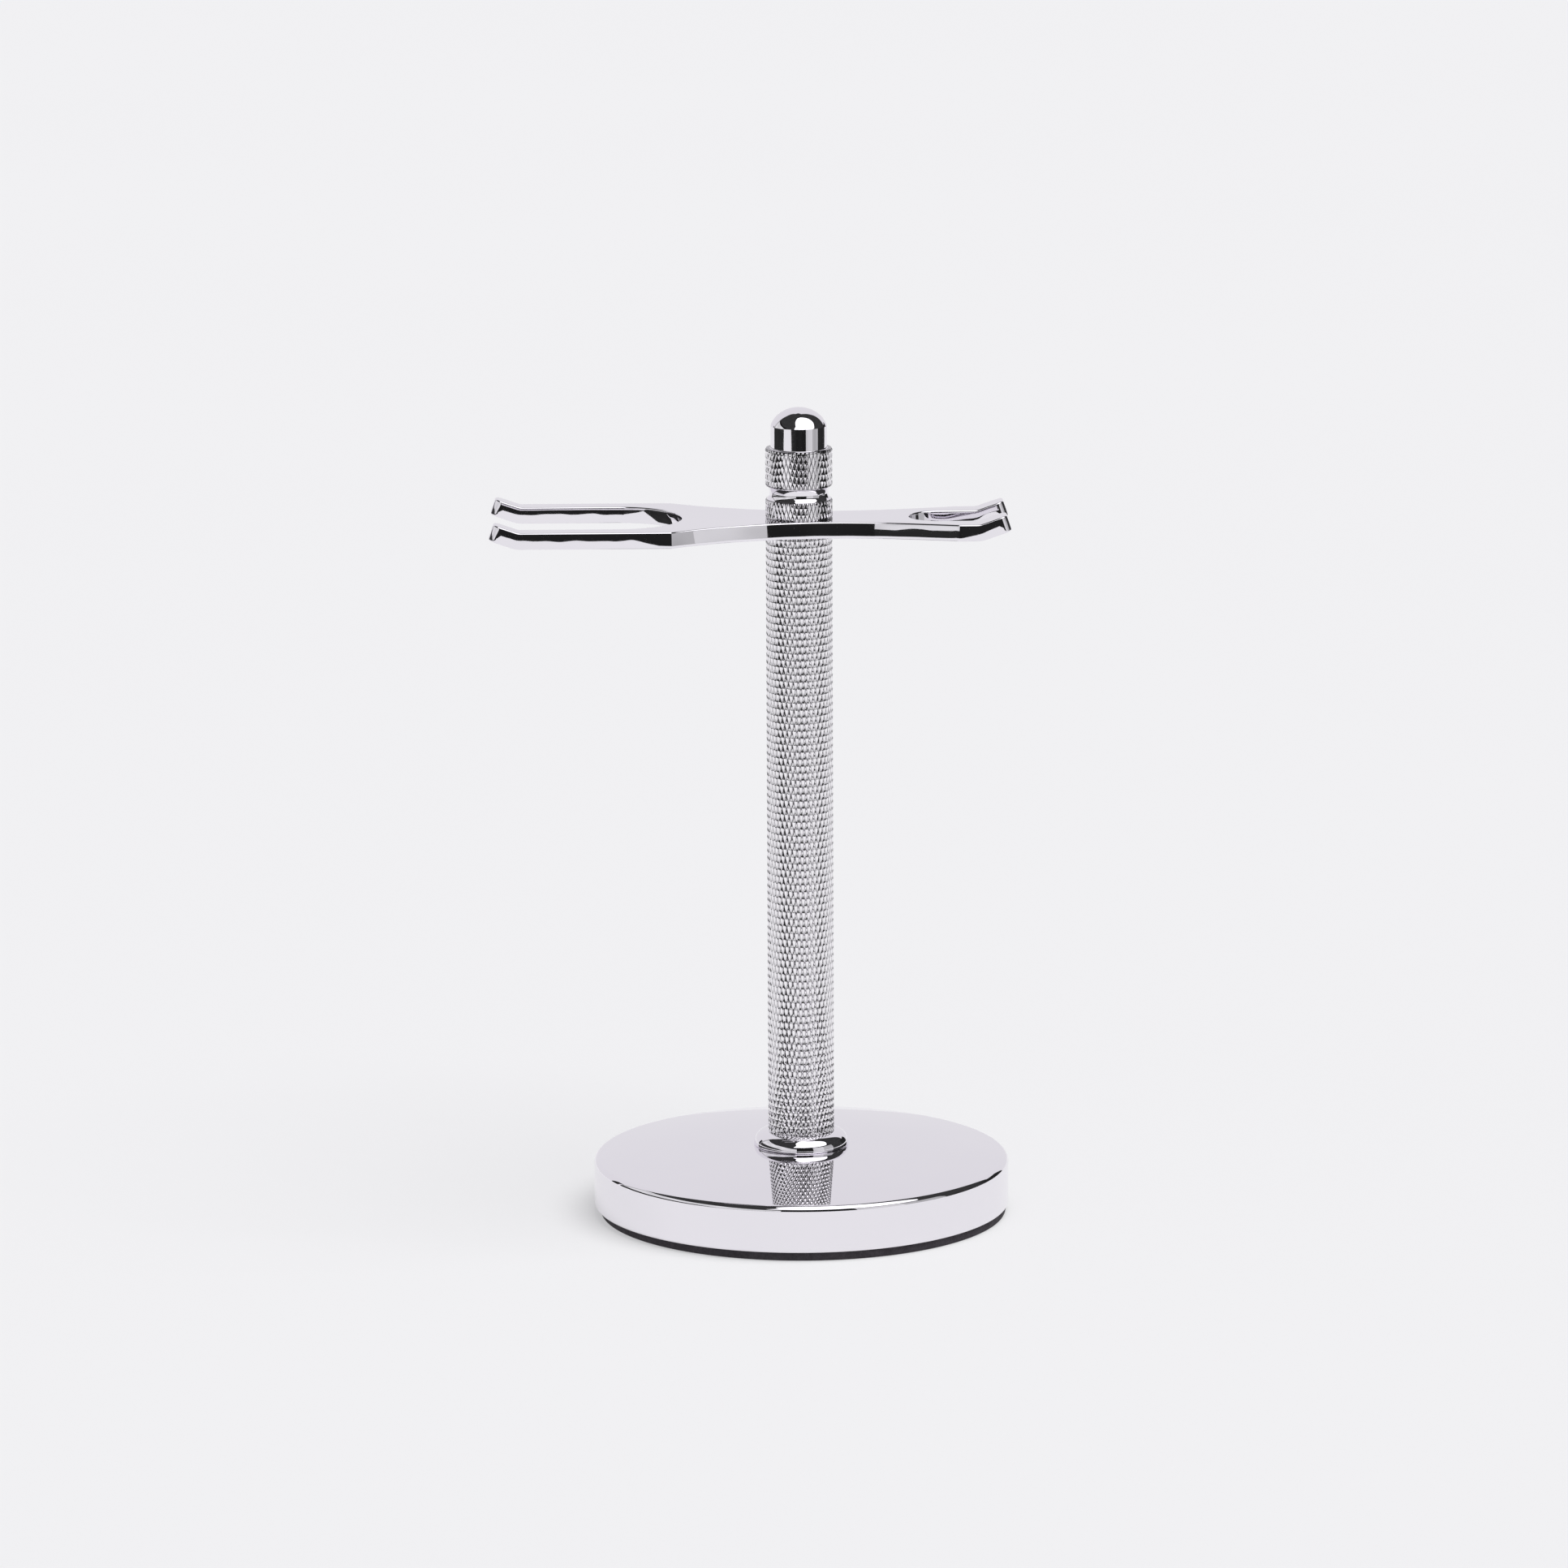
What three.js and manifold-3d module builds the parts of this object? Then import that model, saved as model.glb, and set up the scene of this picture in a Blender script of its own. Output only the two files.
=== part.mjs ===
// A stand for a shaving brush and a safety razor.
// A weighted round base on a soft pad carries a knurled post. A flat double-ended fork sits on
// the post and is clamped by a turned finial, whose stud screws into the post's top end.
// Units are millimetres and +Z is up. The origin is the centre of the pad's underside, on the
// post's axis. The brush fork points to -X and the razor fork to +X.
import * as THREE from "three";
import { mergeVertices } from "three/addons/utils/BufferGeometryUtils.js";
import Module from "manifold-3d";

// Pad and base
const PAD_RADIUS = 36.95;
const PAD_THICKNESS = 1.6;
const BASE_RADIUS = 37.7;
const BASE_SIDE_HEIGHT = 8.7; // underside to the plane of the rounded top edge
const BASE_EDGE_RADIUS = 1.2;
const BASE_FOOT_RADIUS = 0.4;
const BASE_CROWN = 2.05; // how far the middle of the top stands above its edge
const COUNTERBORE_RADIUS = 5.6;
const COUNTERBORE_DEPTH = 5.5;

// Foot ring and post
const RING_RADIUS = 8.6;
const RING_HEIGHT = 2.75;
const RING_FOOT_RADIUS = 0.28;
const POST_RADIUS = 6;
const POST_LENGTH = 109.95;
const POST_CHAMFER = 0.4;

// Fork plate
const ARM_THICKNESS = 3;
const BRUSH_TIP = 55.3; // post's axis to the tip of the brush prongs
const BRUSH_HALF_WIDTH = 15.1;
const BRUSH_SLOT_RADIUS = 11.25; // half the gap, and its round inner end
const BRUSH_SLOT_CENTRE = 32.35; // post's axis to the centre of that round end
const BRUSH_SHOULDER = 22.9; // where the brush fork starts to narrow to the waist
const RAZOR_TIP = 37.65;
const RAZOR_HALF_WIDTH = 9.8;
const RAZOR_SLOT_RADIUS = 5.1;
const RAZOR_SLOT_CENTRE = 24.9;
const RAZOR_SHOULDER = 28.5;
const WAIST_HALF_WIDTH = 6;
const WAIST_X = 5; // the narrowest place lies a little to the razor's side
// Lengths of the curve handles between the shoulders and the waist
const BRUSH_WAIST_HANDLE = 8;
const BRUSH_SHOULDER_HANDLE = { along: 7.9, inward: 5.8 };
const RAZOR_WAIST_HANDLE = 8;
const RAZOR_SHOULDER_HANDLE = { along: 9, inward: 2.3 };
const TIP_CORNER_RADIUS = 1.3;
const BEND_ANGLE = 19; // degrees that the prong ends turn up
const BEND_RADIUS = 4; // measured to the plate's mid-plane
const BRUSH_BEND_RUN = 5.6; // length along X from the start of the bend to the tip
const RAZOR_BEND_RUN = 6;

// Finial
const FINIAL_COLLAR_HEIGHT = 3.4;
const FINIAL_GROOVE_HEIGHT = 2.35;
const FINIAL_GROOVE_RADIUS = 5.3; // at its waist
const FINIAL_BAND_HEIGHT = 6.8;
const FINIAL_CAP_RADIUS = 5.08;
const FINIAL_CAP_HEIGHT = 4.05;
const FINIAL_DOME_HEIGHT = 3.25;
const FINIAL_DOME_START = 17; // degrees round the dome's ellipse at which it leaves the cap
const KNURL_CHAMFER = 0.35;

// M5 fasteners, with their threads left plain
const THREAD_RADIUS = 2.5;
const THREAD_CLEARANCE = 0.25;
const TAPPED_DEPTH = 10;
const STUD_LENGTH = 20;
const STUD_IN_POST = 8;
const SCREW_LENGTH = 16;
const SCREW_HEAD_RADIUS = 4.25;
const SCREW_HEAD_HEIGHT = 3.5;
const HEX_SOCKET_WIDTH = 3;
const HEX_SOCKET_DEPTH = 2;
const FASTENER_CHAMFER = 0.5;
const WASHER_RADIUS = 4.6;
const WASHER_THICKNESS = 1.2;
const WASHER_SPLIT = 8; // degrees

// Facets
const BASE_SEGMENTS = 72;
const POST_SEGMENTS = 48;
const FASTENER_SEGMENTS = 24;
const ARC_STEPS = 5;
const CURVE_STEPS = 10;

// Heights of the joint faces, from the resting plane up
const BASE_BOTTOM = PAD_THICKNESS;
const BASE_EDGE_TOP = BASE_BOTTOM + BASE_SIDE_HEIGHT;
const BASE_TOP = BASE_EDGE_TOP + BASE_CROWN;
const RING_TOP = BASE_TOP + RING_HEIGHT;
const POST_TOP = RING_TOP + POST_LENGTH;
const ARM_TOP = POST_TOP + ARM_THICKNESS;
const COUNTERBORE_ROOF = BASE_BOTTOM + COUNTERBORE_DEPTH;
const SCREW_SEAT = COUNTERBORE_ROOF - WASHER_THICKNESS;
const HOLE_RADIUS = THREAD_RADIUS + THREAD_CLEARANCE;

const wasm = await Module();
wasm.setup();

const chrome = { color: 0xdcdce2, roughness: 0.05, metalness: 1 };
const knurledChrome = { color: 0xcfcfd4, roughness: 0.25, metalness: 1 };
const rubber = { color: 0x17171a, roughness: 0.9, metalness: 0 };
const steel = { color: 0xa9abad, roughness: 0.4, metalness: 1 };

function piece(name, geometry, look) {
  const mesh = new THREE.Mesh(geometry, new THREE.MeshStandardMaterial(look));
  mesh.name = name;
  return mesh;
}

// Points of a circular arc in the (radius, height) plane. Angles are in degrees from outward.
function arc(centreRadius, centreHeight, radius, from, to) {
  const points = [];
  for (let step = 0; step <= ARC_STEPS; step++) {
    const angle = THREE.MathUtils.degToRad(from + ((to - from) * step) / ARC_STEPS);
    const r = centreRadius + radius * Math.cos(angle);
    points.push([r, centreHeight + radius * Math.sin(angle)]);
  }
  return points;
}

// A solid of revolution about Z, from a profile of [radius, height] pairs.
function turned(profile, segments) {
  const points = profile.map(([radius, height]) => new THREE.Vector2(radius, height));
  return new THREE.LatheGeometry(points, segments).rotateX(Math.PI / 2);
}

// The same, from a profile that encloses a through hole and so closes on itself.
function turnedRing(profile, segments) {
  return turned([...profile, profile[0]], segments);
}

function toSolid(geometry) {
  const bare = geometry.clone();
  bare.deleteAttribute("normal");
  bare.deleteAttribute("uv");
  const merged = mergeVertices(bare, 1e-4);
  const vertProperties = merged.attributes.position.array;
  const triVerts = new Uint32Array(merged.index.array);
  return new wasm.Manifold(new wasm.Mesh({ numProp: 3, vertProperties, triVerts }));
}

function toGeometry(solid) {
  const mesh = solid.getMesh();
  const geometry = new THREE.BufferGeometry();
  geometry.setAttribute("position", new THREE.BufferAttribute(mesh.vertProperties, 3));
  geometry.setIndex(new THREE.BufferAttribute(mesh.triVerts, 1));
  const faceted = geometry.toNonIndexed();
  faceted.computeVertexNormals();
  return faceted;
}

function extruded(shape, depth) {
  return new THREE.ExtrudeGeometry(shape, {
    depth,
    bevelEnabled: false,
    curveSegments: CURVE_STEPS,
  });
}

// The full disc under the base that keeps it from slipping.
function pad() {
  return turned(
    [
      [0, 0],
      [PAD_RADIUS, 0],
      [PAD_RADIUS, PAD_THICKNESS],
      [0, PAD_THICKNESS],
    ],
    BASE_SEGMENTS,
  );
}

// Height of the crowned top at a radius: a shallow parabola that levels off at the ring's seat.
function crownHeight(radius) {
  const rim = BASE_RADIUS - BASE_EDGE_RADIUS;
  const share = (radius - RING_RADIUS) / (rim - RING_RADIUS);
  return BASE_EDGE_TOP + BASE_CROWN * (1 - share * share);
}

// Heavy disc with a rounded edge, a crowned top and a counterbore for the screw underneath.
function base() {
  const rim = BASE_RADIUS - BASE_EDGE_RADIUS;
  const foot = BASE_RADIUS - BASE_FOOT_RADIUS;
  const crown = [];
  for (let step = 1; step <= ARC_STEPS; step++) {
    const radius = rim + ((RING_RADIUS - rim) * step) / ARC_STEPS;
    crown.push([radius, crownHeight(radius)]);
  }
  return turnedRing(
    [
      [HOLE_RADIUS, COUNTERBORE_ROOF],
      [COUNTERBORE_RADIUS, COUNTERBORE_ROOF],
      [COUNTERBORE_RADIUS, BASE_BOTTOM],
      ...arc(foot, BASE_BOTTOM + BASE_FOOT_RADIUS, BASE_FOOT_RADIUS, -90, 0),
      ...arc(rim, BASE_EDGE_TOP - BASE_EDGE_RADIUS, BASE_EDGE_RADIUS, 0, 90),
      ...crown,
      [HOLE_RADIUS, BASE_TOP],
    ],
    BASE_SEGMENTS,
  );
}

// Beaded collar between the base and the post. Its top is a quarter of an ellipse that ends at the
// post's foot.
function footRing() {
  const widest = BASE_TOP + RING_FOOT_RADIUS;
  const bead = arc(0, 0, 1, 0, 90).map(([r, z]) => [
    POST_RADIUS + r * (RING_RADIUS - POST_RADIUS),
    widest + z * (RING_TOP - widest),
  ]);
  return turnedRing(
    [
      [HOLE_RADIUS, BASE_TOP],
      ...arc(RING_RADIUS - RING_FOOT_RADIUS, widest, RING_FOOT_RADIUS, -90, 0),
      ...bead.slice(1),
      [HOLE_RADIUS, RING_TOP],
    ],
    POST_SEGMENTS,
  );
}

// Bar stock with a tapped blind hole in each end.
function post() {
  const edge = POST_RADIUS - POST_CHAMFER;
  return turned(
    [
      [0, RING_TOP + TAPPED_DEPTH],
      [HOLE_RADIUS, RING_TOP + TAPPED_DEPTH],
      [HOLE_RADIUS, RING_TOP],
      [edge, RING_TOP],
      [POST_RADIUS, RING_TOP + POST_CHAMFER],
      [POST_RADIUS, POST_TOP - POST_CHAMFER],
      [edge, POST_TOP],
      [HOLE_RADIUS, POST_TOP],
      [HOLE_RADIUS, POST_TOP - TAPPED_DEPTH],
      [0, POST_TOP - TAPPED_DEPTH],
    ],
    POST_SEGMENTS,
  );
}

// One prong end seen from above, with its two corners rounded. The outline runs anticlockwise, so
// a prong that points to +X is followed from its low-Y side to its high-Y side.
function prongEnd(shape, tip, fromY, toY) {
  const outward = Math.sign(tip);
  const across = Math.sign(toY - fromY);
  const centreX = tip - outward * TIP_CORNER_RADIUS;
  const middle = outward > 0 ? 0 : Math.PI;
  const quarter = Math.PI / 2;
  const first = fromY + across * TIP_CORNER_RADIUS;
  const second = toY - across * TIP_CORNER_RADIUS;
  shape.absarc(centreX, first, TIP_CORNER_RADIUS, middle - quarter, middle, false);
  shape.absarc(centreX, second, TIP_CORNER_RADIUS, middle, middle + quarter, false);
}

// The fork's outline from above, with both slots open at the tips and the stud's hole. The +Y half
// runs from the razor slot's inner end round to the brush slot's, and the other half mirrors it.
function armOutline() {
  const half = new THREE.Path();
  half.absarc(RAZOR_SLOT_CENTRE, 0, RAZOR_SLOT_RADIUS, Math.PI, Math.PI / 2, true);
  prongEnd(half, RAZOR_TIP, RAZOR_SLOT_RADIUS, RAZOR_HALF_WIDTH);
  half.lineTo(RAZOR_SHOULDER, RAZOR_HALF_WIDTH);
  half.bezierCurveTo(
    RAZOR_SHOULDER - RAZOR_SHOULDER_HANDLE.along,
    RAZOR_HALF_WIDTH - RAZOR_SHOULDER_HANDLE.inward,
    WAIST_X + RAZOR_WAIST_HANDLE,
    WAIST_HALF_WIDTH,
    WAIST_X,
    WAIST_HALF_WIDTH,
  );
  half.bezierCurveTo(
    WAIST_X - BRUSH_WAIST_HANDLE,
    WAIST_HALF_WIDTH,
    -BRUSH_SHOULDER + BRUSH_SHOULDER_HANDLE.along,
    BRUSH_HALF_WIDTH - BRUSH_SHOULDER_HANDLE.inward,
    -BRUSH_SHOULDER,
    BRUSH_HALF_WIDTH,
  );
  prongEnd(half, -BRUSH_TIP, BRUSH_HALF_WIDTH, BRUSH_SLOT_RADIUS);
  half.absarc(-BRUSH_SLOT_CENTRE, 0, BRUSH_SLOT_RADIUS, Math.PI / 2, 0, true);
  const points = half.getPoints(CURVE_STEPS);
  const mirrored = points.slice(1, -1).map((point) => new THREE.Vector2(point.x, -point.y));
  const outline = new THREE.Shape([...points, ...mirrored.reverse()]);
  const hole = new THREE.Path();
  hole.absarc(0, 0, HOLE_RADIUS, 0, 2 * Math.PI, false);
  outline.holes.push(hole);
  return outline;
}

// One side of the plate seen along Y, from the start of a bend out past the tip.
// The side is the line that lies `offset` above the mid-plane.
function bentLine(start, run, outward, offset) {
  const points = [];
  const radius = BEND_RADIUS - offset;
  for (let step = 0; step <= ARC_STEPS; step++) {
    const angle = THREE.MathUtils.degToRad((BEND_ANGLE * step) / ARC_STEPS);
    const along = radius * Math.sin(angle);
    points.push([start + outward * along, offset + radius * (1 - Math.cos(angle))]);
  }
  const [lastX, lastZ] = points[points.length - 1];
  const rest = start + outward * (run + ARM_THICKNESS) - lastX;
  const slope = Math.tan(THREE.MathUtils.degToRad(BEND_ANGLE));
  points.push([lastX + rest, lastZ + Math.abs(rest) * slope]);
  return points;
}

// The plate's section along its length: flat in the middle, both ends turned up.
function armSection() {
  const brushBend = -BRUSH_TIP + BRUSH_BEND_RUN;
  const razorBend = RAZOR_TIP - RAZOR_BEND_RUN;
  const half = ARM_THICKNESS / 2;
  const outline = [
    ...bentLine(brushBend, BRUSH_BEND_RUN, -1, -half).reverse(),
    ...bentLine(razorBend, RAZOR_BEND_RUN, 1, -half),
    ...bentLine(razorBend, RAZOR_BEND_RUN, 1, half).reverse(),
    ...bentLine(brushBend, BRUSH_BEND_RUN, -1, half),
  ];
  return new THREE.Shape(outline.map(([x, z]) => new THREE.Vector2(x, z)));
}

// The bent strip, cut to the outline.
function arm() {
  const margin = 1;
  const width = 2 * (BRUSH_HALF_WIDTH + margin);
  const height = 6 * ARM_THICKNESS;
  const strip = extruded(armSection(), width).rotateX(Math.PI / 2).translate(0, width / 2, 0);
  const cutter = extruded(armOutline(), height).translate(0, 0, -height / 2);
  const plate = toSolid(strip).intersect(toSolid(cutter));
  return toGeometry(plate).translate(0, 0, POST_TOP + ARM_THICKNESS / 2);
}

// Turned cap nut: knurled collar, groove, knurled band, plain cap and dome, with a blind hole.
function finial() {
  const collarTop = ARM_TOP + FINIAL_COLLAR_HEIGHT;
  const bandBottom = collarTop + FINIAL_GROOVE_HEIGHT;
  const bandTop = bandBottom + FINIAL_BAND_HEIGHT;
  const domeBottom = bandTop + FINIAL_CAP_HEIGHT;
  const chamfered = POST_RADIUS - KNURL_CHAMFER;
  const halfGroove = FINIAL_GROOVE_HEIGHT / 2;
  const grooveDepth = chamfered - FINIAL_GROOVE_RADIUS;
  const grooveArc = (halfGroove ** 2 + grooveDepth ** 2) / (2 * grooveDepth);
  const grooveReach = THREE.MathUtils.radToDeg(Math.asin(halfGroove / grooveArc));
  const groove = arc(
    FINIAL_GROOVE_RADIUS + grooveArc,
    collarTop + halfGroove,
    grooveArc,
    180 + grooveReach,
    180 - grooveReach,
  );
  const [[startRadius, startHeight]] = arc(0, 0, 1, FINIAL_DOME_START, 90);
  const dome = arc(0, 0, 1, FINIAL_DOME_START, 90).map(([r, z]) => [
    (r / startRadius) * FINIAL_CAP_RADIUS,
    domeBottom + ((z - startHeight) / (1 - startHeight)) * FINIAL_DOME_HEIGHT,
  ]);
  dome[dome.length - 1][0] = 0;
  return turned(
    [
      [0, ARM_TOP + TAPPED_DEPTH],
      [HOLE_RADIUS, ARM_TOP + TAPPED_DEPTH],
      [HOLE_RADIUS, ARM_TOP],
      [POST_RADIUS, ARM_TOP],
      [POST_RADIUS, collarTop - KNURL_CHAMFER],
      ...groove,
      [POST_RADIUS, bandBottom + KNURL_CHAMFER],
      [POST_RADIUS, bandTop - KNURL_CHAMFER],
      [chamfered, bandTop],
      [FINIAL_CAP_RADIUS, bandTop],
      ...dome,
    ],
    POST_SEGMENTS,
  );
}

// Threaded stud that holds the finial to the post through the fork.
function topStud() {
  const bottom = POST_TOP - STUD_IN_POST;
  const top = bottom + STUD_LENGTH;
  const edge = THREAD_RADIUS - FASTENER_CHAMFER;
  return turned(
    [
      [0, bottom],
      [edge, bottom],
      [THREAD_RADIUS, bottom + FASTENER_CHAMFER],
      [THREAD_RADIUS, top - FASTENER_CHAMFER],
      [edge, top],
      [0, top],
    ],
    FASTENER_SEGMENTS,
  );
}

// Low-head screw that pulls the post down onto the base, with a hexagon socket in its head.
function baseScrew() {
  const headBottom = SCREW_SEAT - SCREW_HEAD_HEIGHT;
  const tip = SCREW_SEAT + SCREW_LENGTH;
  const body = turned(
    [
      [0, headBottom],
      [SCREW_HEAD_RADIUS - FASTENER_CHAMFER, headBottom],
      [SCREW_HEAD_RADIUS, headBottom + FASTENER_CHAMFER],
      [SCREW_HEAD_RADIUS, SCREW_SEAT],
      [THREAD_RADIUS, SCREW_SEAT],
      [THREAD_RADIUS, tip - FASTENER_CHAMFER],
      [THREAD_RADIUS - FASTENER_CHAMFER, tip],
      [0, tip],
    ],
    FASTENER_SEGMENTS,
  );
  const hexRadius = HEX_SOCKET_WIDTH / Math.sqrt(3);
  const socket = new THREE.CylinderGeometry(hexRadius, hexRadius, 2 * HEX_SOCKET_DEPTH, 6)
    .rotateX(Math.PI / 2)
    .translate(0, 0, headBottom);
  return toGeometry(toSolid(body).subtract(toSolid(socket)));
}

// Spring lock washer: a flat ring with one split.
function lockWasher() {
  const half = THREE.MathUtils.degToRad(WASHER_SPLIT / 2);
  const ring = new THREE.Shape();
  ring.absarc(0, 0, WASHER_RADIUS, half, 2 * Math.PI - half, false);
  ring.absarc(0, 0, HOLE_RADIUS, 2 * Math.PI - half, half, true);
  return extruded(ring, WASHER_THICKNESS).translate(0, 0, SCREW_SEAT);
}

const stand = new THREE.Group();
stand.add(
  piece("base_pad", pad(), rubber),
  piece("base", base(), chrome),
  piece("foot_ring", footRing(), chrome),
  piece("post", post(), knurledChrome),
  piece("arm", arm(), chrome),
  piece("finial", finial(), knurledChrome),
  piece("top_stud", topStud(), steel),
  piece("base_screw", baseScrew(), steel),
  piece("lock_washer", lockWasher(), steel),
);

export default stand;
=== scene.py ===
"""Looks of the razor stand: chromed base, knurled post, double-ended fork and screw-down finial.

All lengths are in metres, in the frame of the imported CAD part: +Z up along the post, the brush
fork towards -X, the razor fork towards +X, the camera on the -Y side.
Azimuths and elevations are in degrees. An azimuth goes round the post from -Y towards +X.
"""

import math
from collections import namedtuple

import bmesh
import bpy
import numpy as np
from mathutils import Matrix, Vector


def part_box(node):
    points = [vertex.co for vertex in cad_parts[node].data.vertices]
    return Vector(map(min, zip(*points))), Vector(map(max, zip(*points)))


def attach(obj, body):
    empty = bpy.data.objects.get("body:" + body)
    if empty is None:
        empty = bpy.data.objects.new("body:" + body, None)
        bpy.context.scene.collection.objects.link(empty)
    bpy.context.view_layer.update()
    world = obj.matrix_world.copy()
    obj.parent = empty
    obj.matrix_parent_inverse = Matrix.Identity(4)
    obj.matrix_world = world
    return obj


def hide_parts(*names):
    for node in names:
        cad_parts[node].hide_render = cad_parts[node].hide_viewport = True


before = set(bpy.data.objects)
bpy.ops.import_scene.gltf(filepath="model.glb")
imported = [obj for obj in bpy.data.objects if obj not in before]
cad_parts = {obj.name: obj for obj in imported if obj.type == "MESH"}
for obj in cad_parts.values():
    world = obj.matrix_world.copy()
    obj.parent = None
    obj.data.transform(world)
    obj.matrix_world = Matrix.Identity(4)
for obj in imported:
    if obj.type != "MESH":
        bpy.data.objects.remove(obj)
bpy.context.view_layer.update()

MM = 0.001

# Base, foot ring and pad
BASE_CROWN = 2.05 * MM  # how far the middle of the base's top stands above its edge
BASE_EDGE_FILLET = 1.2 * MM
BASE_FOOT_FILLET = 0.4 * MM
BASE_FILLET_STEPS = 16
BASE_CROWN_STEPS = 40
BASE_SEGMENTS = 288
COUNTERBORE_RADIUS = 5.6 * MM
COUNTERBORE_DEPTH = 5.5 * MM
RING_FOOT_FILLET = 0.28 * MM
RING_BEAD_STEPS = 32
RING_SEGMENTS = 192
PAD_EDGE_FILLET = 0.3 * MM
PAD_FOOT_TAPER = 0.15 * MM
PAD_TOP_TAPER = 0.1 * MM
PAD_CENTRE_RADIUS = 0.2 * MM  # of the flat that closes the pad's mesh at its axis
PAD_SEGMENTS = 192
PAD_SHIFT = 0.3 * MM  # the pad is glued on a little off centre

# Knurls. A period is the distance along the piece from one ridge of a groove family to the next.
# The flank is the share of its depth that a groove still has at its shoulder.
# Rolled grooves are deepest where they cross. Cut ones are equally deep everywhere.
Knurl = namedtuple("Knurl", "starts periods depth flank chamfer rolled")
POST_KNURL = Knurl(starts=40, periods=(2.44 * MM, 2.72 * MM), depth=0.34 * MM, flank=0.25,
                   chamfer=0.08 * MM, rolled=True)
FINIAL_KNURL = Knurl(starts=48, periods=(2.5 * MM, 2.5 * MM), depth=0.14 * MM, flank=0.04,
                     chamfer=0.15 * MM, rolled=False)
KNURL_STEPS = 5  # mesh steps from one groove to the next
# Places across a groove. Its middle is 0, and halfway to the next groove is 1
GROOVE_SHOULDER = 0.4  # where its side becomes less steep
GROOVE_LAND = 0.8  # where its side ends

# Finial, from the fork plate up
COLLAR_HEIGHT = 3.4 * MM
GROOVE_HEIGHT = 2.35 * MM
GROOVE_RADIUS = 5.3 * MM  # at its waist
GROOVE_LIP = 5.8 * MM
BAND_HEIGHT = 6.8 * MM
CAP_RADIUS = 5.08 * MM
CAP_HEIGHT = 4.05 * MM
CAP_FOOT_FILLET = 0.12 * MM
DOME_START = 17  # degrees round the dome's ellipse at which it leaves the cap
DOME_TIP_RADIUS = 0.02 * MM
CURVE_STEPS = 24  # mesh steps along the dome and along the groove

# Fork plate, seen from above
BRUSH_TIP = 55.3 * MM
BRUSH_HALF_WIDTH = 15.1 * MM
BRUSH_SLOT_RADIUS = 11.25 * MM
BRUSH_SLOT_CENTRE = 32.35 * MM
BRUSH_SHOULDER = 22.9 * MM
RAZOR_TIP = 37.65 * MM
RAZOR_HALF_WIDTH = 9.8 * MM
RAZOR_SLOT_RADIUS = 5.1 * MM
RAZOR_SLOT_CENTRE = 24.9 * MM
RAZOR_SHOULDER = 28.5 * MM
WAIST_HALF_WIDTH = 6 * MM
WAIST_X = 5 * MM
BRUSH_WAIST_HANDLE = 8 * MM
BRUSH_SHOULDER_HANDLE = (7.9 * MM, 5.8 * MM)
RAZOR_WAIST_HANDLE = 8 * MM
RAZOR_SHOULDER_HANDLE = (9 * MM, 2.3 * MM)
TIP_CORNER_RADIUS = 1.3 * MM
TIP_FACE_STEP = 0.5 * MM
OUTLINE_STEP = 0.6 * MM
SAME_POINT = 0.001 * MM  # points closer than this count as one
CUT_TOLERANCE = 1e-7
HOLE_SEGMENTS = 48
FORK_TURN = math.radians(1.1)  # the fork isn't clamped quite square to the base

# Fork plate, seen from the side
PLATE_THICKNESS = 3 * MM
PLATE_FILLET = 0.3 * MM
PLATE_FILLET_STEPS = 6
EDGE_CROWN = 0.02 * MM  # how far polishing has rounded the plate's narrow faces
WAIST_LEAN = math.radians(2.5)  # how far the narrow faces lean back along the waist
LEAN_LEFT = -30 * MM  # the lean starts and ends at these places along the fork
LEAN_RIGHT = 34 * MM
LEAN_RUN = 8 * MM  # the length over which it grows or fades
BEND_ANGLE = math.radians(19)
BEND_RADIUS = 4 * MM  # measured to the plate's mid-plane
BEND_STEPS = 6
BRUSH_BEND_RUN = 5.6 * MM
RAZOR_BEND_RUN = 6 * MM
# Each bend: the way along X that it faces, and how far out along X it starts
BENDS = ((-1, BRUSH_TIP - BRUSH_BEND_RUN), (1, RAZOR_TIP - RAZOR_BEND_RUN))

# Fasteners
THREAD_RADIUS = 2.5 * MM
THREAD_PITCH = 0.8 * MM
THREAD_DEPTH = 0.43 * MM
THREAD_SLOPE = 1.3  # of the flanks, so that flats are left at the crest and the root
THREAD_CREST = 0.15
THREAD_STEPS = 8  # mesh rings to a pitch
FASTENER_SEGMENTS = 48
HOLE_RADIUS = 2.75 * MM
TAPPED_DEPTH = 10 * MM
SCREW_HEAD_HEIGHT = 3.5 * MM
SCREW_HEAD_FILLET = 0.4 * MM
SCREW_NECK = 0.1 * MM
HEX_SOCKET_WIDTH = 3 * MM
HEX_SOCKET_DEPTH = 2 * MM
HEX_SOCKET_RIM = 2.4 * MM
WASHER_SPLIT = math.radians(8)
WASHER_SPRING = 0.2 * MM  # how far the split ends part
WASHER_CHAMFER = 0.12 * MM
WASHER_STEPS = 72

# Shading. Waviness is the height of the polished surface's slow ripples
SHARP_ANGLE = math.radians(18)  # edges sharper than this stay crisp
BASE_WAVINESS = 0.0012 * MM
RING_WAVINESS = 0.001 * MM
FINIAL_WAVINESS = 0.0006 * MM
FORK_WAVINESS = 0.06 * MM
CHROME_COLOUR = (0.893, 0.87, 0.91)
CHROME_SHADE = (0.862, 0.843, 0.885)
# Knurl colours: the crests carry a painted highlight and the bottoms of the grooves a painted shade
PAINTED_CREST_HIGHLIGHT = (0.99, 0.975, 1)
PAINTED_GROOVE_SHADE = (0.28, 0.27, 0.29)
RUBBER_COLOUR = (0.013, 0.01, 0.014)
RUBBER_DUST = (0.05, 0.042, 0.052)
ZINC_SHADE = (0.52, 0.53, 0.55)
ZINC_COLOUR = (0.72, 0.73, 0.74)
PAPER_COLOUR = (0.455, 0.455, 0.459)
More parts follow.
